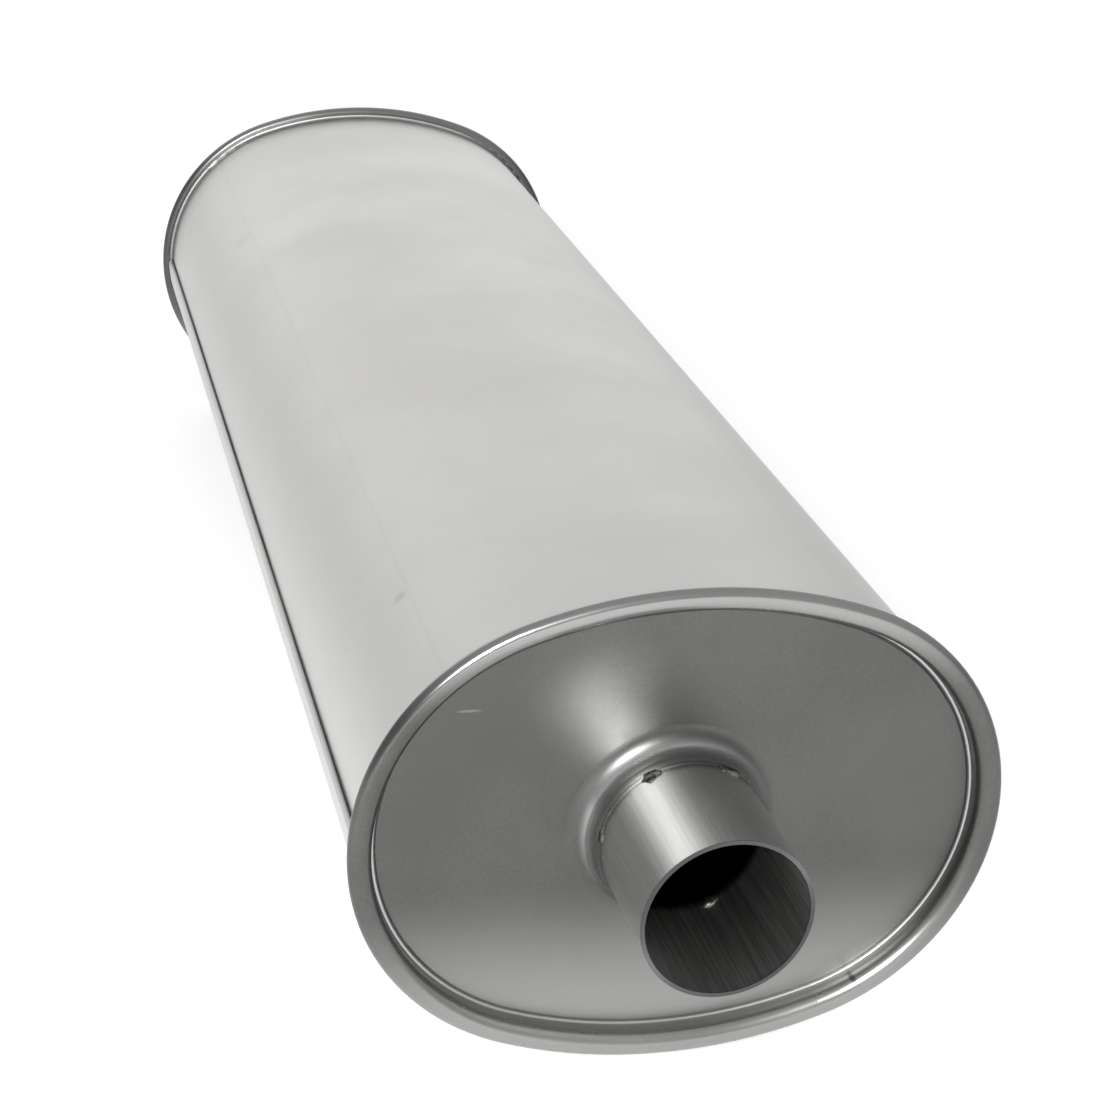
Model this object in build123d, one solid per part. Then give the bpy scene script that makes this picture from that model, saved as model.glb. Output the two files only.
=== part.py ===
from build123d import *
import math
import os

# Oval exhaust muffler, in millimetres. It is drawn standing, with its long axis on Z and the
# inlet end up, and is laid on its side at the end: the inlet then faces -Y and Z is up.

# Body
BODY_LENGTH = 700.0  # over both rolled rims
SHELL_WIDTH = 228.0  # outside the outer wrap
SHELL_HEIGHT = 176.0
CROWN_RADIUS = 176.6  # of the flatter top and bottom of the oval
OUTER_WRAP = 0.7  # sheet thicknesses
INNER_WRAP = 0.7
HEAD_SHEET = 1.2
SHEET_GAP = 0.1  # between sheets that are folded into each other

# Rolled rims, where a head and both wraps are folded into one seam
RIM_HEIGHT = 6.0  # over the shell
RIM_THICKNESS = 5.7
FLARE_RADIUS = 2.0  # where the shell turns out into the rim
SHOULDER_RADIUS = 4.6  # where the head turns in from the rim

# Lock seam along the left side of the outer wrap
SEAM_WIDTH = 10.0
SEAM_DROP = 6.0  # of its middle, below the long axis
SEAM_BEND = 1.2  # radius where the sheet steps out over the hooked edge
SEAM_STEP = 60.0  # slope of that step, in degrees

# Butt joint of the inner wrap, under the outer one
BUTT_ANGLE = 132.0  # round the left end of the oval, in degrees from +X
BUTT_GAP = 2.0

# Head panels, which lie in from the rim's face
PANEL_DEPTH = 8.3
PANEL_STEP = 0.5  # height of the panel over the groove at its edge
PANEL_EDGE_RADIUS = 1.6
ROOT_RADIUS = 1.0
PANEL_MARGIN = 2.0  # flat width outside the panel's plate

# Necks, and the collars that are drawn out of the heads round them
NECK_OD = 60.4
NECK_WALL = 1.5
NECK_REACH = 55.0  # from the rim's face out to the mouth
NECK_INSIDE = 36.0  # from the rim's face in to the inner end
NECK_FIT = 0.1  # between neck and collar
COLLAR_REACH = 4.3  # from the rim's face out to the collar's lip
COLLAR_ROOT = 8.0
INLET_X = -2.3  # the inlet sits a little left of the middle
OUTLET_INSET = 50.0  # of the outlet's axis from the shell's side

# Gas tubes
TUBE_SPACE = 10.7  # between neighbouring tubes
TUBE_MARGIN = 20.0  # from the return tube to the shell's side
TUBE_WALL = 1.2
TUBE_FIT = 0.1  # in the baffles' collars and over the necks
TUBE_OVERHANG = 30.0  # of an open tube end past a baffle
CUP_DEPTH = 20.0  # how far a tube's formed end reaches over its neck
CUP_SEAT = 0.3  # between the neck's end and the bends below it
CUP_BEND = 10.0  # radius of both bends
TUNING_OD = 38.0
TUNING_LENGTH = 90.0
TUNING_INSET = 64.0  # of the tuning tube's axis from the shell's side

# Slots punched in the tubes where gas bleeds into a chamber
SLOT_WIDTH = 4.0
SLOT_LENGTH = 18.0
SLOT_PAIRS = 3  # opposite pairs in a row
SLOT_ROWS = 3
SLOT_PITCH = 24.0

# Baffles
BAFFLE_SHEET = 1.2
BAFFLE_FLANGE = 14.0
BAFFLE_BEND = 3.0
BAFFLE_MARGIN = 6.0  # flat width outside the baffle's plate
BAFFLE_COLLAR = 7.0
FIRST_SHARE = 0.33  # where its flat face lies, from the middle of the body towards the inlet
SECOND_SHARE = 0.1
THIRD_SHARE = -0.16
FOURTH_SHARE = -0.335

# Tack welds
TACK_RADIUS = 2.2
TACK_GAP = 0.03  # between a weld's skin and the sheets it joins
NECK_TACKS = (4.0, 62.0, 118.0, 172.0, 232.0, 296.0)  # places round a neck, in degrees
TUBE_TACKS = (60.0, 240.0)  # places round a tube

# Worked out from the sizes above
half_length = BODY_LENGTH / 2
rim_turn = RIM_THICKNESS / 2
turn_height = RIM_HEIGHT - rim_turn
hem_radius = rim_turn - HEAD_SHEET - SHEET_GAP - OUTER_WRAP
wrap_stack = OUTER_WRAP + SHEET_GAP + INNER_WRAP
head_wall = wrap_stack + SHEET_GAP + HEAD_SHEET
flange_length = turn_height - FLARE_RADIUS
barrel_half = half_length - RIM_THICKNESS + HEAD_SHEET + SHEET_GAP - FLARE_RADIUS
panel_face = half_length - PANEL_DEPTH
neck_radius = NECK_OD / 2
neck_end = half_length - NECK_INSIDE
tube_radius = (SHELL_WIDTH / 2 + INLET_X - TUBE_MARGIN - TUBE_SPACE) / 3
tuning_radius = TUNING_OD / 2
outlet_x = SHELL_WIDTH / 2 - OUTLET_INSET
return_x = TUBE_MARGIN + tube_radius - SHELL_WIDTH / 2
tuning_x = TUNING_INSET - SHELL_WIDTH / 2
first_level = FIRST_SHARE * BODY_LENGTH
second_level = SECOND_SHARE * BODY_LENGTH
third_level = THIRD_SHARE * BODY_LENGTH
fourth_level = FOURTH_SHARE * BODY_LENGTH


def oval_arcs(grow=0.0):
    """Centre, radius, start angle and sweep of the four arcs of the shell's oval, grown by grow."""
    half_width = SHELL_WIDTH / 2
    half_height = SHELL_HEIGHT / 2
    crown_centre = CROWN_RADIUS - half_height
    end_radius = CROWN_RADIUS**2 - half_width**2 - crown_centre**2
    end_radius /= 2 * (CROWN_RADIUS - half_width)
    end_centre = half_width - end_radius
    corner = math.degrees(math.atan2(crown_centre, end_centre))
    return [
        ((end_centre, 0), end_radius + grow, -corner, 2 * corner),
        ((0, -crown_centre), CROWN_RADIUS + grow, corner, 180 - 2 * corner),
        ((-end_centre, 0), end_radius + grow, 180 - corner, 2 * corner),
        ((0, crown_centre), CROWN_RADIUS + grow, 180 + corner, 180 - 2 * corner),
    ]


def oval(grow):
    """Face of the shell's oval, grown by grow."""
    return make_face([CenterArc(*arc) for arc in oval_arcs(grow)])


def around_oval(section):
    """Carry a section round the oval: its x is the height over the shell, its y is along Z."""
    ring = Part()
    for centre, radius, start, sweep in oval_arcs():
        upright = Rot(90, 0, 0) * Pos(radius, 0, 0) * section
        ring += Pos(*centre) * Rot(0, 0, start) * revolve(upright, Axis.Z, sweep)
    return ring


def plate(grow, face, thickness, holes):
    """Flat oval plate below the level of its face, with round holes given as (x, radius)."""
    outline = oval(grow)
    for x, radius in holes:
        outline -= Pos(x, 0) * Circle(radius)
    return Pos(0, 0, face - thickness) * extrude(outline, thickness)


def bent_path(start, heading, steps, inset):
    """One face of a bent sheet: a step is a straight length or a (radius, angle) bend."""
    direction = Vector(1, 0).rotate(Axis.Z, heading)
    point = Vector(*start) + direction.rotate(Axis.Z, -90) * inset
    edges = []
    for step in steps:
        if isinstance(step, tuple):
            radius, angle = step
            edge = JernArc(point, direction, radius + math.copysign(inset, angle), angle)
        else:
            edge = Line(point, point + direction * step)
        edges.append(edge)
        point = edge @ 1
        direction = edge % 1
    return edges


def bent_sheet(start, heading, steps, thickness):
    """Section of a bent sheet, drawn along its left face."""
    left = bent_path(start, heading, steps, 0)
    right = bent_path(start, heading, steps, thickness)
    ends = [Line(left[0] @ 0, right[0] @ 0), Line(left[-1] @ 1, right[-1] @ 1)]
    return make_face(left + right + ends)


def turned(section):
    """Revolve a section about Z: its x is the radius, its y is along Z."""
    return revolve(Rot(90, 0, 0) * section, Axis.Z)


def pipe(outer_radius, wall, low, high):
    """Straight round pipe along Z."""
    ring = Circle(outer_radius) - Circle(outer_radius - wall)
    return Pos(0, 0, low) * extrude(ring, high - low)


def wrap(section, depth, thickness, hem):
    """Wrap whose barrel has the given section, with both ends turned out into the rims, then hemmed."""
    barrel = Pos(0, 0, -barrel_half) * extrude(section, 2 * barrel_half)
    steps = [(FLARE_RADIUS + depth, -90), flange_length, *hem]
    end = around_oval(bent_sheet((-depth, barrel_half), 90, steps, thickness))
    return barrel + end + mirror(end, Plane.XY)


def seam_section():
    """The lock seam's two hooked sheet edges, and the stretch of plain shell that they replace."""
    centre, radius, _, _ = oval_arcs()[2]
    inner = radius - OUTER_WRAP
    layer = OUTER_WRAP + SHEET_GAP
    fold = (OUTER_WRAP + 2 * layer) / 2
    width = math.degrees(SEAM_WIDTH / radius)
    top = 180 + math.degrees(math.asin(SEAM_DROP / radius)) - width / 2
    upper_start = Vector(inner, 0).rotate(Axis.Z, top) + Vector(*centre)
    hook = [(inner, width), (fold, -180), (inner + 2 * fold, -width)]
    upper_edge = bent_sheet(upper_start, top + 90, hook, OUTER_WRAP)

    slope = math.radians(SEAM_STEP)
    bends = SEAM_BEND + SEAM_BEND + OUTER_WRAP
    straight = (3 * layer - bends * (1 - math.cos(slope))) / math.sin(slope)
    run = bends * math.sin(slope) + straight * math.cos(slope)
    foot = top + width + math.degrees((fold + SHEET_GAP + run) / radius)
    lower_start = Vector(radius, 0).rotate(Axis.Z, foot) + Vector(*centre)
    cover = [
        (SEAM_BEND, SEAM_STEP),
        straight,
        (SEAM_BEND + OUTER_WRAP, -SEAM_STEP),
        (radius + 3 * layer, top - foot + math.degrees(run / radius)),
        (fold, -180),
        (inner + layer, width),
    ]
    lower_edge = bent_sheet(lower_start, foot - 90, cover, OUTER_WRAP)
    replaced = bent_sheet(upper_start, top + 90, [(inner, foot - top)], OUTER_WRAP)
    return upper_edge, lower_edge, replaced


def outer_wrap():
    """Outer sheet, hooked together down the left side, flared and hemmed into both rims."""
    upper_edge, lower_edge, replaced = seam_section()
    section = oval(0) - oval(-OUTER_WRAP) - replaced + upper_edge + lower_edge
    hem = [(hem_radius, 180), flange_length - SHEET_GAP]
    return wrap(section, OUTER_WRAP, OUTER_WRAP, hem)


def inner_wrap():
    """Inner sheet, its edges butted with a narrow gap, its flanges held in the outer wrap's hems."""
    section = oval(INNER_WRAP - wrap_stack) - oval(-wrap_stack)
    centre, radius, _, _ = oval_arcs()[2]
    joint = Pos(radius, 0, 0) * Box(4 * RIM_HEIGHT, BUTT_GAP, BODY_LENGTH)
    sheet = wrap(section, wrap_stack, INNER_WRAP, [])
    return sheet - Pos(*centre) * Rot(0, 0, BUTT_ANGLE) * joint


def head(neck_x):
    """Pressed head: flat panel, drawn collar, edge groove, and a flange rolled round the wraps."""
    groove = PANEL_EDGE_RADIUS + ROOT_RADIUS
    slope = math.degrees(math.acos(1 - PANEL_STEP / groove))
    margin = groove * math.sin(math.radians(slope)) + ROOT_RADIUS + PANEL_MARGIN
    steps = [
        PANEL_MARGIN,
        (PANEL_EDGE_RADIUS, -slope),
        (ROOT_RADIUS, 90 + slope),
        PANEL_DEPTH + PANEL_STEP - ROOT_RADIUS - SHOULDER_RADIUS,
        (SHOULDER_RADIUS, -90),
        turn_height + head_wall - SHOULDER_RADIUS,
        (rim_turn, -180),
        flange_length,
    ]
    edge = around_oval(bent_sheet((-head_wall - margin, panel_face), 0, steps, HEAD_SHEET))
    bore = neck_radius + NECK_FIT
    lip = half_length + COLLAR_REACH
    drawn = [lip - panel_face - COLLAR_ROOT, (COLLAR_ROOT, 90)]
    collar = turned(bent_sheet((bore + HEAD_SHEET, lip), -90, drawn, HEAD_SHEET))
    hole = (neck_x, bore + HEAD_SHEET + COLLAR_ROOT)
    panel = plate(-head_wall - margin, panel_face, HEAD_SHEET, [hole])
    return edge + panel + Pos(neck_x, 0, 0) * collar


def neck():
    """Cut length of pipe that takes the exhaust pipe."""
    return pipe(neck_radius, NECK_WALL, neck_end, half_length + NECK_REACH)


def cupped_tube(low):
    """Gas tube from its open low end to the cup that is formed over a neck."""
    bore = tube_radius - TUBE_WALL
    rise = neck_radius + TUBE_FIT - bore
    bend = math.acos(1 - abs(rise) / (2 * CUP_BEND))
    cone = 2 * CUP_BEND * math.sin(bend)
    turn = math.copysign(math.degrees(bend), rise)
    steps = [
        neck_end - CUP_SEAT - cone - low,
        (CUP_BEND, -turn),
        (CUP_BEND, turn),
        CUP_SEAT + CUP_DEPTH,
    ]
    return turned(bent_sheet((bore, low), 90, steps, TUBE_WALL))


def slotted(tube, middle):
    """Tube with staggered rows of slots about the given level; each cut makes an opposite pair."""
    punch = Box(4 * tube_radius, SLOT_WIDTH, SLOT_LENGTH)
    for row in range(SLOT_ROWS):
        level = middle + (row - (SLOT_ROWS - 1) / 2) * SLOT_PITCH
        for pair in range(SLOT_PAIRS):
            angle = 180 * (pair + row / 2) / SLOT_PAIRS
            tube -= Pos(0, 0, level) * Rot(0, 0, angle) * punch
    return tube


def inlet_tube():
    """Carries gas in to the rear chamber and bleeds into both middle chambers."""
    tube = cupped_tube(third_level - TUBE_OVERHANG)
    tube = slotted(tube, (first_level + second_level) / 2)
    return slotted(tube, (second_level + third_level) / 2)


def return_tube():
    """Carries gas back to the front chamber."""
    low = third_level - TUBE_OVERHANG
    tube = pipe(tube_radius, TUBE_WALL, low, first_level + TUBE_OVERHANG)
    return slotted(tube, (first_level + second_level) / 2)


def outlet_tube():
    """Carries gas from the front chamber to the outlet neck."""
    tube = cupped_tube(-first_level - TUBE_OVERHANG)
    tube = slotted(tube, -(second_level + third_level) / 2)
    return mirror(tube, Plane.XY)


def tuning_tube():
    """Short tube into the closed rear chamber, which works as a resonator."""
    middle = fourth_level - BAFFLE_SHEET / 2
    return pipe(tuning_radius, TUBE_WALL, middle - TUNING_LENGTH / 2, middle + TUNING_LENGTH / 2)


def baffle(level, tubes):
    """Pressed baffle: edge flange against the inner wrap, and a collar round each (x, radius) tube."""
    depth = wrap_stack + SHEET_GAP + BAFFLE_SHEET + BAFFLE_BEND + BAFFLE_MARGIN
    steps = [BAFFLE_MARGIN, (BAFFLE_BEND, 90), BAFFLE_FLANGE - BAFFLE_BEND]
    pressing = around_oval(bent_sheet((-depth, level), 0, steps, BAFFLE_SHEET))
    pressing += plate(-depth, level, BAFFLE_SHEET, [(x, radius + TUBE_FIT) for x, radius in tubes])
    for x, radius in tubes:
        rim = radius + TUBE_FIT + BAFFLE_SHEET
        pressing += Pos(x, 0, 0) * pipe(rim, BAFFLE_SHEET, level, level + BAFFLE_COLLAR)
    return pressing


def tack_welds(radius, level, angles):
    """Small welds in the corner between a tube and the lip of its collar."""
    welds = []
    for angle in angles:
        drop = Pos(radius, 0, level) * Sphere(TACK_RADIUS)
        drop -= Pos(0, 0, level) * Cylinder(radius + TACK_GAP, 4 * TACK_RADIUS)
        drop -= Pos(radius, 0, level + TACK_GAP - 2 * TACK_RADIUS) * Box(*[4 * TACK_RADIUS] * 3)
        welds.append(Rot(0, 0, angle) * drop)
    return Compound(children=welds)


def tube_tacks(radius, level):
    """Tack welds of a tube on the collar of the baffle at the given level."""
    return tack_welds(radius, level + BAFFLE_COLLAR, TUBE_TACKS)


def main():
    os.makedirs("parts", exist_ok=True)
    inlet = Pos(INLET_X, 0, 0)
    outlet = Pos(outlet_x, 0, 0)
    returning = Pos(return_x, 0, 0)
    tuning = Pos(tuning_x, 0, 0)
    main_tubes = [(INLET_X, tube_radius), (return_x, tube_radius), (outlet_x, tube_radius)]
    rear_tubes = [(outlet_x, tube_radius), (tuning_x, tuning_radius)]
    neck_welds = tack_welds(neck_radius, half_length + COLLAR_REACH, NECK_TACKS)
    pieces = {
        "outer_wrap": outer_wrap(),
        "inner_wrap": inner_wrap(),
        "front_head": head(INLET_X),
        "rear_head": mirror(head(outlet_x), Plane.XY),
        "inlet_neck": inlet * neck(),
        "outlet_neck": outlet * mirror(neck(), Plane.XY),
        "inlet_neck_tack_welds": inlet * neck_welds,
        "outlet_neck_tack_welds": outlet * mirror(neck_welds, Plane.XY),
        "inlet_tube": inlet * inlet_tube(),
        "return_tube": returning * return_tube(),
        "outlet_tube": outlet * outlet_tube(),
        "tuning_tube": tuning * tuning_tube(),
        "first_baffle": baffle(first_level, main_tubes),
        "second_baffle": baffle(second_level, main_tubes),
        "third_baffle": baffle(third_level, main_tubes),
        "fourth_baffle": baffle(fourth_level, rear_tubes),
        "inlet_tube_tack_welds": inlet * tube_tacks(tube_radius, second_level),
        "return_tube_tack_welds": returning * tube_tacks(tube_radius, first_level),
        "outlet_tube_tack_welds": outlet * tube_tacks(tube_radius, third_level),
        "tuning_tube_tack_welds": tuning * tube_tacks(tuning_radius, fourth_level),
    }
    laid_down = Pos(0, 0, SHELL_HEIGHT / 2 + RIM_HEIGHT) * Rot(90, 0, 0)
    for name, shape in pieces.items():
        export_step(laid_down * shape, f"parts/{name}.step")


main()
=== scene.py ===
"""Exhaust muffler with an oval double-wrapped shell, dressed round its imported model."""

import math

import bmesh
import bpy
from mathutils import Matrix, Vector, noise


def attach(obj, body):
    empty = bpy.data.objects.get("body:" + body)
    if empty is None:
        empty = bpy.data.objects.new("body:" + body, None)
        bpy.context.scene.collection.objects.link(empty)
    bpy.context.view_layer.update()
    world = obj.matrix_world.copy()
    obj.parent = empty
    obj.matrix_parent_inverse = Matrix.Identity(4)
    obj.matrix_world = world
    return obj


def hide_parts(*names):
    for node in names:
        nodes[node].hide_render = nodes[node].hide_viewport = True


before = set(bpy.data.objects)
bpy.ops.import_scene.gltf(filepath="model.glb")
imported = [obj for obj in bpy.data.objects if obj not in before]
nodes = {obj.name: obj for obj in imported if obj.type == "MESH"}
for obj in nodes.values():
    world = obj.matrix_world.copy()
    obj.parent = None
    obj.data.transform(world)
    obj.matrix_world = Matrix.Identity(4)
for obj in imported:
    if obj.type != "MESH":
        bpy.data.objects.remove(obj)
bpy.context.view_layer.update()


# Floor: a wide sheet of white studio paper.
# It is matt, so it shows only the soft shadow of the muffler that lies on it.
FLOOR_HALF = 40.0
PAPER_LIFT = 0.14


def linear(hex_colour):
    """Linear colour with alpha from an sRGB hex value."""
    channels = [int(hex_colour[i : i + 2], 16) / 255 for i in (1, 3, 5)]
    return [c / 12.92 if c <= 0.04045 else ((c + 0.055) / 1.055) ** 2.4 for c in channels] + [1]


def feed(node, inputs):
    """Set a node's inputs, each to a number, a hex colour or another node's output."""
    for socket, value in inputs.items():
        if isinstance(value, bpy.types.NodeSocket):
            node.id_data.links.new(value, node.inputs[socket])
        elif isinstance(value, str):
            node.inputs[socket].default_value = linear(value)
        else:
            node.inputs[socket].default_value = value


def shader(tree, kind, inputs=None, out=0, **settings):
    """Add a node with its settings and inputs, and give one of its outputs."""
    made = tree.nodes.new("ShaderNode" + kind)
    for name, setting in settings.items():
        setattr(made, name, setting)
    feed(made, inputs or {})
    return made.outputs[out]


def new_material(name):
    """Empty node material: its tree, its Principled BSDF and the place on the object in metres."""
    material = bpy.data.materials.new(name)
    material.use_nodes = True
    tree = material.node_tree
    place = shader(tree, "TexCoord", out="Object")
    return material, tree, tree.nodes["Principled BSDF"], place


paper, tree, surface, place = new_material("studio_paper_matt")
fibres = shader(tree, "TexNoise", {"Vector": place, "Scale": 1 / 0.004, "Detail": 2})
# What the lens sees straight or mirrored is lifted to the white of the studio sheet.
camera_ray = shader(tree, "LightPath", out="Is Camera Ray")
glossy_ray = shader(tree, "LightPath", out="Is Glossy Ray")
passed_ray = shader(tree, "LightPath", out="Is Transmission Ray")
mirrored = shader(tree, "Math", {0: glossy_ray, 1: passed_ray}, operation="ADD")
seen = shader(tree, "Math", {0: camera_ray, 1: mirrored}, operation="ADD")
feed(
    surface,
    {
        "Base Color": "#FFFFFF",
        "Roughness": 0.9,
        "Specular IOR Level": 0.0,
        "Normal": shader(tree, "Bump", {"Strength": 0.05, "Distance": 0.0002, "Height": fibres}),
        "Emission Color": "#FFFFFF",
        "Emission Strength": shader(tree, "Math", {0: seen, 1: PAPER_LIFT}, operation="MULTIPLY"),
    },
)

floor_mesh = bpy.data.meshes.new("floor")
corners = [(FLOOR_HALF * x, FLOOR_HALF * y, 0) for x, y in [(-1, -1), (1, -1), (1, 1), (-1, 1)]]
floor_mesh.from_pydata(corners, [], [(0, 1, 2, 3)])
floor = bpy.data.objects.new("floor", floor_mesh)
bpy.context.scene.collection.objects.link(floor)
floor.data.materials.append(paper)


# Camera: where the photograph was taken from, found from the outlines of the muffler.
# It looks down on the inlet end from the left, rolled a few degrees.
AZIMUTH, ELEVATION, ROLL = (math.radians(angle) for angle in (-15.523, 23.484, 4.230))
RIM_CENTRE = Vector((0, -0.350, 0.094))
RIM_TO_LENS = Vector((-0.04794, 0.09972, 0.80575))  # along the camera's right, up and back
LENS = 75.13

back = Vector(
    (
        math.sin(AZIMUTH) * math.cos(ELEVATION),
        -math.cos(AZIMUTH) * math.cos(ELEVATION),
        math.sin(ELEVATION),
    )
)
level_right = Vector((0, 0, 1)).cross(back).normalized()
level_up = back.cross(level_right)
right = level_right * math.cos(ROLL) + level_up * math.sin(ROLL)
up = level_up * math.cos(ROLL) - level_right * math.sin(ROLL)
turn = Matrix((right, up, back)).transposed()
camera = bpy.data.objects.new("camera", bpy.data.cameras.new("camera"))
bpy.context.scene.collection.objects.link(camera)
camera.matrix_world = Matrix.Translation(RIM_CENTRE + turn @ RIM_TO_LENS) @ turn.to_4x4()
camera.data.lens = LENS
camera.data.sensor_width = 36
camera.data.clip_start = 0.01
bpy.context.scene.camera = camera


# Light: an even pale room, a wide softbox low behind the muffler and a small one by the camera.
# The small one makes the bright streaks on the neck, the collar and the rim.
LAMPS = [
    # name, place, point it faces, width, height, watts
    ("back_softbox", (0.0, 2.4, 1.0), (0, 0, 0.1), 3.6, 1.6, 13),
    ("camera_softbox", (-0.58, -1.69, 0.86), (0, -0.4, 0.1), 0.42, 0.42, 31),
]
ROOM = "#D6D6D6"

for name, spot, aim, width, height, watts in LAMPS:
    lamp = bpy.data.lights.new(name, "AREA")
    lamp.shape = "RECTANGLE"
    lamp.size = width
    lamp.size_y = height
    lamp.energy = watts
    holder = bpy.data.objects.new(name, lamp)
    bpy.context.scene.collection.objects.link(holder)
    holder.location = spot
    holder.rotation_euler = (Vector(aim) - Vector(spot)).to_track_quat("-Z", "Y").to_euler()
    holder.visible_camera = False

world = bpy.data.worlds.new("room")
bpy.context.scene.world = world
world.use_nodes = True
feed(world.node_tree.nodes["Background"], {"Color": ROOM})
bpy.context.scene.view_settings.view_transform = "Standard"


# Wraps: two sheets of aluminised steel round the body, the outer one hooked into a lock seam.
# The hot-dip coat is matt and light grey, with a fine grain and soft smudges; a faint long crease
# is drawn as a painted shade line.
SMUDGES = [
    # centre and half sizes in metres, strength
    ((-0.090, -0.269, 0.152), (0.0035, 0.0050, 0.030), 0.24),
    ((-0.091, 0.192, 0.151), (0.0060, 0.0100, 0.030), 0.10),
    ((-0.020, -0.120, 0.186), (0.0200, 0.0120, 0.030), 0.02),
    ((0.040, 0.060, 0.182), (0.0160, 0.0200, 0.030), 0.02),
]
CREASE_X = -0.087  # a faint line along the upper left of the shell
CREASE_SHADE_STRENGTH = 0.035


def dress(material, *names):
    """Give CAD nodes a material."""
    for name in names:
        mesh = nodes[name].data
        mesh.materials.clear()
        mesh.materials.append(material)


def blot(tree, place, centre, sizes, wobble, colours):
    """Soft spot on a surface with an uneven edge; colours are strength, what it covers, its own."""
    away = shader(tree, "VectorMath", {0: place, 1: centre}, operation="SUBTRACT")
    scaled = shader(tree, "VectorMath", {0: away, 1: sizes}, operation="DIVIDE")
    reach = shader(tree, "VectorMath", {0: scaled}, out="Value", operation="LENGTH")
    uneven = shader(tree, "Math", {0: reach, 1: wobble}, operation="ADD")
    strength, covered, own = colours
    mask = shader(
        tree,
        "MapRange",
        {0: uneven, 1: 1.5, 2: 0.6, 4: strength},
        interpolation_type="SMOOTHSTEP",
    )
    return shader(tree, "Mix", {0: mask, 6: covered, 7: own}, out=2, data_type="RGBA")


wrap_steel, tree, surface, place = new_material("aluminised_steel_rolled")
patches = shader(tree, "TexNoise", {"Vector": place, "Scale": 1 / 0.09, "Detail": 3})
grain = shader(tree, "TexNoise", {"Vector": place, "Scale": 1 / 0.0016, "Detail": 2})
clouds = shader(tree, "TexNoise", {"Vector": place, "Scale": 1 / 0.018, "Detail": 4})
mottled = shader(tree, "Math", {0: patches, 1: grain}, operation="ADD")
shade = shader(tree, "Math", {0: mottled, 1: clouds}, operation="ADD")
tone = shader(tree, "MapRange", {0: shade, 1: 1.1, 2: 1.9}, interpolation_type="SMOOTHSTEP")
coat = shader(tree, "Mix", {0: tone, 6: "#C6C6C5", 7: "#CAC9C8"}, out=2, data_type="RGBA")
x = shader(tree, "SeparateXYZ", {0: place}, out="X")
z = shader(tree, "SeparateXYZ", {0: place}, out="Z")
aside = shader(tree, "Math", {0: x, 1: CREASE_X}, operation="SUBTRACT")
off_line = shader(tree, "Math", {0: aside}, operation="ABSOLUTE")
# Painted shade: a faint dark line along the crease, on the upper part of the shell only.
line = shader(
    tree,
    "MapRange",
    {0: off_line, 1: 0.0010, 2: 0.0002, 4: CREASE_SHADE_STRENGTH},
    interpolation_type="SMOOTHSTEP",
)
upper = shader(tree, "MapRange", {0: z, 1: 0.12, 2: 0.13}, interpolation_type="SMOOTHSTEP")
painted_crease_shade = shader(tree, "Math", {0: line, 1: upper}, operation="MULTIPLY")
smudges_and_crease_shade = shader(tree, "Mix", {0: painted_crease_shade, 6: coat, 7: "#6E6E6C"}, out=2, data_type="RGBA")
for centre, sizes, strength in SMUDGES:
    smudges_and_crease_shade = blot(tree, place, centre, sizes, patches, (strength, smudges_and_crease_shade, "#6E6E6C"))
rough = {0: patches, 1: 0.3, 2: 0.7, 3: 0.47, 4: 0.55}
feed(
    surface,
    {
        "Base Color": smudges_and_crease_shade,
        "Metallic": 1.0,
        "Roughness": shader(tree, "MapRange", rough, interpolation_type="SMOOTHSTEP"),
        "Normal": shader(tree, "Bump", {"Strength": 0.08, "Distance": 0.0001, "Height": grain}),
    },
)
dress(wrap_steel, "outer_wrap", "inner_wrap")


# Heads: pressed from steel sheet, satin, rolled round the wraps at their edge.
# The flat panel is dull grey. The groove at its edge is painted lighter to take out its shade, the
# rim is painted lighter towards its top and the collars much lighter as painted highlights, and the
# heads are painted lighter low down as a painted reflection of the floor.
PANEL_FACE = 0.3417  # of both panels from the middle of the body
COLLAR_FOOT = 0.043  # radius where the collars leave the panels
COLLAR_LIP = 0.3543  # of both collars from the middle of the body
AXIS_Z = 0.094  # of the body and both necks
NECK_AXES = [("inlet_neck", -0.0023, -1), ("outlet_neck", 0.064, 1)]
MIDDLE = 0.01  # half width of the part of the body where no head reaches
SCRATCH = (-0.079, -0.342, 0.143)
SPECK = (0.072, -0.349, 0.025)

head_steel, tree, surface, place = new_material("steel_pressed_satin")
x, y, z = (shader(tree, "SeparateXYZ", {0: place}, out=axis) for axis in "XYZ")
depth = shader(tree, "Math", {0: y}, operation="ABSOLUTE")
patches = shader(tree, "TexNoise", {"Vector": place, "Scale": 1 / 0.06, "Detail": 3})
grain = shader(tree, "TexNoise", {"Vector": place, "Scale": 1 / 0.0012, "Detail": 2})
faint_grain = shader(tree, "Math", {0: grain, 1: 0.4}, operation="MULTIPLY")
shade = shader(tree, "Math", {0: patches, 1: faint_grain}, operation="ADD")
tone = shader(tree, "MapRange", {0: shade, 1: 0.45, 2: 0.95}, interpolation_type="SMOOTHSTEP")
from_axis = shader(
    tree,
    "MapRange",
    {0: y, 1: -MIDDLE, 2: MIDDLE, 3: NECK_AXES[0][1], 4: NECK_AXES[1][1]},
    interpolation_type="SMOOTHSTEP",
)
across = shader(
    tree,
    "CombineXYZ",
    {
        "X": shader(tree, "Math", {0: x, 1: from_axis}, operation="SUBTRACT"),
        "Z": shader(tree, "Math", {0: z, 1: AXIS_Z}, operation="SUBTRACT"),
    },
)
radius = shader(tree, "VectorMath", {0: across}, out="Value", operation="LENGTH")
flat = shader(tree, "Mix", {0: tone, 6: "#595958", 7: "#636362"}, out=2, data_type="RGBA")
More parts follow.
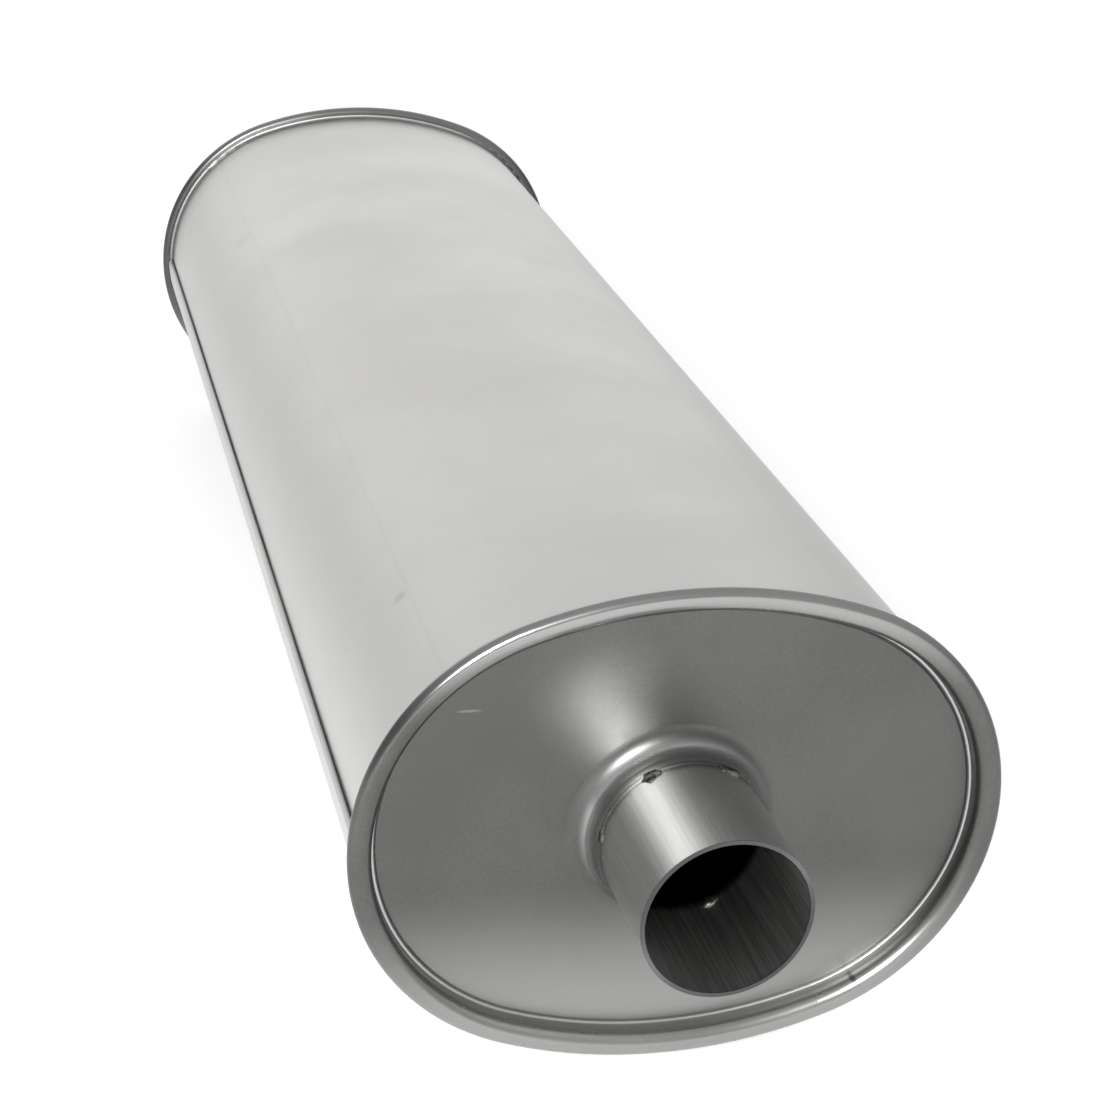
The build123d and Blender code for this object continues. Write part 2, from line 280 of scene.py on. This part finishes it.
# Painted light: the groove at the panel's edge is lightened to take out the shade that falls in it.
groove_light_range = {0: depth, 1: PANEL_FACE - 0.0001, 2: PANEL_FACE - 0.0004}
painted_groove_light = shader(tree, "MapRange", groove_light_range, interpolation_type="SMOOTHSTEP")
panel = shader(tree, "Mix", {0: painted_groove_light, 6: flat, 7: "#B4B4B3"}, out=2, data_type="RGBA")

rolled = shader(tree, "Mix", {0: tone, 6: "#585857", 7: "#656564"}, out=2, data_type="RGBA")
# Painted highlight: the rolled rim is lighter towards its top.
top_highlight_range = {0: z, 1: 0.140, 2: 0.178, 4: 0.7}
painted_top_highlight = shader(tree, "MapRange", top_highlight_range, interpolation_type="SMOOTHSTEP")
rim = shader(tree, "Mix", {0: painted_top_highlight, 6: rolled, 7: "#A8A8A7"}, out=2, data_type="RGBA")

# Painted highlight: the collars round the necks are much lighter than the rest of the same pressed
# sheet.
drawn = shader(tree, "Mix", {0: tone, 6: "#C4C4C3", 7: "#D2D2D1"}, out=2, data_type="RGBA")
collar_highlight_range = {0: radius, 1: COLLAR_FOOT, 2: COLLAR_FOOT - 0.006}
painted_collar_highlight = shader(tree, "MapRange", collar_highlight_range, interpolation_type="SMOOTHSTEP")
formed = shader(tree, "Mix", {0: painted_collar_highlight, 6: rim, 7: drawn}, out=2, data_type="RGBA")
at_lip = {0: depth, 1: COLLAR_LIP - 0.0006, 2: COLLAR_LIP - 0.0001}
lip = shader(tree, "MapRange", at_lip, interpolation_type="SMOOTHSTEP")
formed = shader(tree, "Mix", {0: lip, 6: formed, 7: "#4C4C4B"}, out=2, data_type="RGBA")

past_panel = {0: depth, 1: PANEL_FACE + 0.0008, 2: PANEL_FACE + 0.005}
worked = shader(tree, "MapRange", past_panel, interpolation_type="SMOOTHSTEP")
steel = shader(tree, "Mix", {0: worked, 6: panel, 7: formed}, out=2, data_type="RGBA")
# Painted reflection: the heads are lighter towards the bottom, standing in for the pale floor
# mirrored in them.
low_reflection_range = {0: z, 1: 0.075, 2: 0.012, 4: 0.8}
painted_low_reflection = shader(tree, "MapRange", low_reflection_range, interpolation_type="SMOOTHSTEP")
steel = shader(tree, "Mix", {0: painted_low_reflection, 6: steel, 7: "#A6A6A4"}, out=2, data_type="RGBA")
wobble = shader(tree, "Math", {0: patches, 1: 0.5}, operation="SUBTRACT")
scratch = (0.16, steel, "#C8C8C6")
steel = blot(tree, place, SCRATCH, (0.0032, 0.004, 0.0004), wobble, scratch)
steel = blot(tree, place, SPECK, (0.0012, 0.006, 0.0009), wobble, (0.7, steel, "#2A2A29"))
satin_range = {0: patches, 1: 0.3, 2: 0.7, 3: 0.33, 4: 0.42}
satin = shader(tree, "MapRange", satin_range, interpolation_type="SMOOTHSTEP")
polish = shader(tree, "Math", {0: worked, 1: 0.12}, operation="MULTIPLY")
feed(
    surface,
    {
        "Base Color": steel,
        "Metallic": 1.0,
        "Roughness": shader(tree, "Math", {0: satin, 1: polish}, operation="SUBTRACT"),
        "Normal": shader(tree, "Bump", {"Strength": 0.03, "Distance": 0.0002, "Height": shade}),
    },
)
dress(head_steel, "front_head", "rear_head")


# Necks: short lengths of welded steel pipe, brushed lengthwise and cut square.
# The outside is bright and the cut end is dull; deeper in, the bore is darkened with a painted
# shadow of the mouth's upper lip.
MOUTH = 0.405  # of both necks from the middle of the body
BORE_RADIUS = 0.0287
PAINTED_SHADE_DEPTH = 0.052  # from the mouth to where the painted shadow starts
PAINTED_SHADE_FADE = 0.003

for name, axis_x, end in NECK_AXES:
    neck_steel, tree, surface, place = new_material("steel_pipe_brushed_" + name)
    on_axis = (axis_x, 0, AXIS_Z)
    centred = shader(tree, "VectorMath", {0: place, 1: on_axis}, operation="SUBTRACT")
    x, y, z = (shader(tree, "SeparateXYZ", {0: centred}, out=axis) for axis in "XYZ")
    across = shader(tree, "CombineXYZ", {"X": x, "Z": z})
    radius = shader(tree, "VectorMath", {0: across}, out="Value", operation="LENGTH")
    depth = shader(tree, "Math", {0: y, 1: end}, operation="MULTIPLY")
    # Real brush marks are about 0.2 mm wide; they are coarser here so that the picture holds them.
    stretched = shader(tree, "Mapping", {"Vector": centred, "Scale": (1, 0.02, 1)})
    brushed = shader(tree, "TexNoise", {"Vector": stretched, "Scale": 1 / 0.0011, "Detail": 3})
    tone = shader(tree, "MapRange", {0: brushed, 1: 0.3, 2: 0.7}, interpolation_type="SMOOTHSTEP")
    skin = shader(tree, "Mix", {0: tone, 6: "#DCDCDB", 7: "#E8E8E7"}, out=2, data_type="RGBA")
    bore = shader(tree, "Mix", {0: tone, 6: "#C0BFBE", 7: "#E4E3E2"}, out=2, data_type="RGBA")
    # Painted shadow: past a set depth from the mouth the bore is painted dark, standing in for the
    # shadow of the mouth's upper lip.
    painted_shade_start = MOUTH - PAINTED_SHADE_DEPTH
    painted_shade_range = {0: depth, 1: painted_shade_start + PAINTED_SHADE_FADE, 2: painted_shade_start - PAINTED_SHADE_FADE}
    painted_bore_shade = shader(tree, "MapRange", painted_shade_range, interpolation_type="SMOOTHSTEP")
    bore = shader(tree, "Mix", {0: painted_bore_shade, 6: bore, 7: "#2C2C2B"}, out=2, data_type="RGBA")
    past_bore = {0: radius, 1: BORE_RADIUS + 0.0003, 2: BORE_RADIUS + 0.0012}
    outside = shader(tree, "MapRange", past_bore, interpolation_type="SMOOTHSTEP")
    wall = shader(tree, "Mix", {0: outside, 6: bore, 7: skin}, out=2, data_type="RGBA")
    at_mouth = {0: depth, 1: MOUTH - 0.0005, 2: MOUTH - 0.0001}
    cut = shader(tree, "MapRange", at_mouth, interpolation_type="SMOOTHSTEP")
    wall_rough = shader(
        tree, "MapRange", {0: outside, 3: 0.48, 4: 0.34}, interpolation_type="SMOOTHSTEP"
    )
    cut_rough = shader(tree, "MapRange", {0: cut, 4: 0.62}, interpolation_type="SMOOTHSTEP")
    feed(
        surface,
        {
            "Base Color": shader(
                tree, "Mix", {0: cut, 6: wall, 7: "#606060"}, out=2, data_type="RGBA"
            ),
            "Metallic": 1.0,
            "Roughness": shader(tree, "Math", {0: wall_rough, 1: cut_rough}, operation="MAXIMUM"),
            "Anisotropic": 0.7,
            "Tangent": shader(tree, "Tangent", direction_type="RADIAL", axis="Y"),
            "Normal": shader(
                tree, "Bump", {"Strength": 0.008, "Distance": 0.0001, "Height": brushed}
            ),
        },
    )
    dress(neck_steel, name)


# Gas tubes: slotted steel tube inside the body, dulled by soot.
# Drawing leaves faint lines along them.
tube_steel, tree, surface, place = new_material("steel_tube_sooty")
stretched = shader(tree, "Mapping", {"Vector": place, "Scale": (1, 0.02, 1)})
drawn = shader(tree, "TexNoise", {"Vector": stretched, "Scale": 1 / 0.002, "Detail": 3})
tone = shader(tree, "MapRange", {0: drawn, 1: 0.3, 2: 0.7}, interpolation_type="SMOOTHSTEP")
feed(
    surface,
    {
        "Base Color": shader(
            tree, "Mix", {0: tone, 6: "#2C2B2A", 7: "#474645"}, out=2, data_type="RGBA"
        ),
        "Metallic": 1.0,
        "Roughness": 0.5,
        "Normal": shader(tree, "Bump", {"Strength": 0.15, "Distance": 0.0002, "Height": drawn}),
    },
)
dress(tube_steel, "inlet_tube", "return_tube", "outlet_tube", "tuning_tube")


# Baffles: pressed plates across the body, each with a collar round every tube.
# The sheet is dull, with cloudy soot on it.
baffle_steel, tree, surface, place = new_material("steel_sheet_sooty")
clouds = shader(tree, "TexNoise", {"Vector": place, "Scale": 1 / 0.03, "Detail": 4})
tone = shader(tree, "MapRange", {0: clouds, 1: 0.3, 2: 0.7}, interpolation_type="SMOOTHSTEP")
feed(
    surface,
    {
        "Base Color": shader(
            tree, "Mix", {0: tone, 6: "#333231", 7: "#565553"}, out=2, data_type="RGBA"
        ),
        "Metallic": 1.0,
        "Roughness": 0.55,
        "Normal": shader(tree, "Bump", {"Strength": 0.15, "Distance": 0.0003, "Height": clouds}),
    },
)
dress(baffle_steel, "first_baffle", "second_baffle", "third_baffle", "fourth_baffle")


# Tack welds: small drops of weld metal between each neck and its collar, and round the tubes.
# They are heat-darkened and lumpy, with no two alike.
NECK_RADIUS = 0.0302
WELD_PLACES = (4, 62, 118, 172, 232, 296)  # round a neck, in degrees
WELD_SIZES = (0.0040, 0.0027, 0.0020)  # half sizes round the neck, along it and off it
WELD_SINK = 0.0006
LUMPS = 0.45  # how uneven a drop is
LUMP_PITCH = 1.3

weld_metal, tree, surface, place = new_material("weld_metal_heat_darkened")
slag = shader(tree, "TexNoise", {"Vector": place, "Scale": 1 / 0.0015, "Detail": 4})
tone = shader(tree, "MapRange", {0: slag, 1: 0.35, 2: 0.7}, interpolation_type="SMOOTHSTEP")
feed(
    surface,
    {
        "Base Color": shader(
            tree, "Mix", {0: tone, 6: "#474644", 7: "#76736F"}, out=2, data_type="RGBA"
        ),
        "Metallic": 1.0,
        "Roughness": 0.5,
        "Normal": shader(tree, "Bump", {"Strength": 0.5, "Distance": 0.0004, "Height": slag}),
    },
)
dress(weld_metal, *[name for name in nodes if name.endswith("tack_welds")])

for name, axis_x, end in NECK_AXES:
    mesh = bpy.data.meshes.new(name + "_weld_drops")
    body = bmesh.new()
    for index, degrees in enumerate(WELD_PLACES):
        angle = math.radians(degrees)
        out = Vector((math.cos(angle), 0, math.sin(angle)))
        around = Vector((-math.sin(angle), 0, math.cos(angle)))
        along = Vector((0, end, 0))
        centre = Vector((axis_x, end * COLLAR_LIP, AXIS_Z)) + out * (NECK_RADIUS - WELD_SINK)
        own_lumps = Vector((7.3 * index, 2.1 * end, 0))
        for vertex in bmesh.ops.create_icosphere(body, subdivisions=3, radius=1)["verts"]:
            ball = vertex.co.copy()
            lumps = 1 + LUMPS * noise.noise(ball * LUMP_PITCH + own_lumps)
            sized = [ball[i] * WELD_SIZES[i] * lumps for i in range(3)]
            vertex.co = centre + around * sized[0] + along * sized[1] + out * sized[2]
    bmesh.ops.recalc_face_normals(body, faces=body.faces)
    body.to_mesh(mesh)
    body.free()
    mesh.shade_smooth()
    mesh.materials.append(weld_metal)
    drops = bpy.data.objects.new(name + "_weld_drops", mesh)
    bpy.context.scene.collection.objects.link(drops)
    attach(drops, "root")
    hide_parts(name + "_tack_welds")
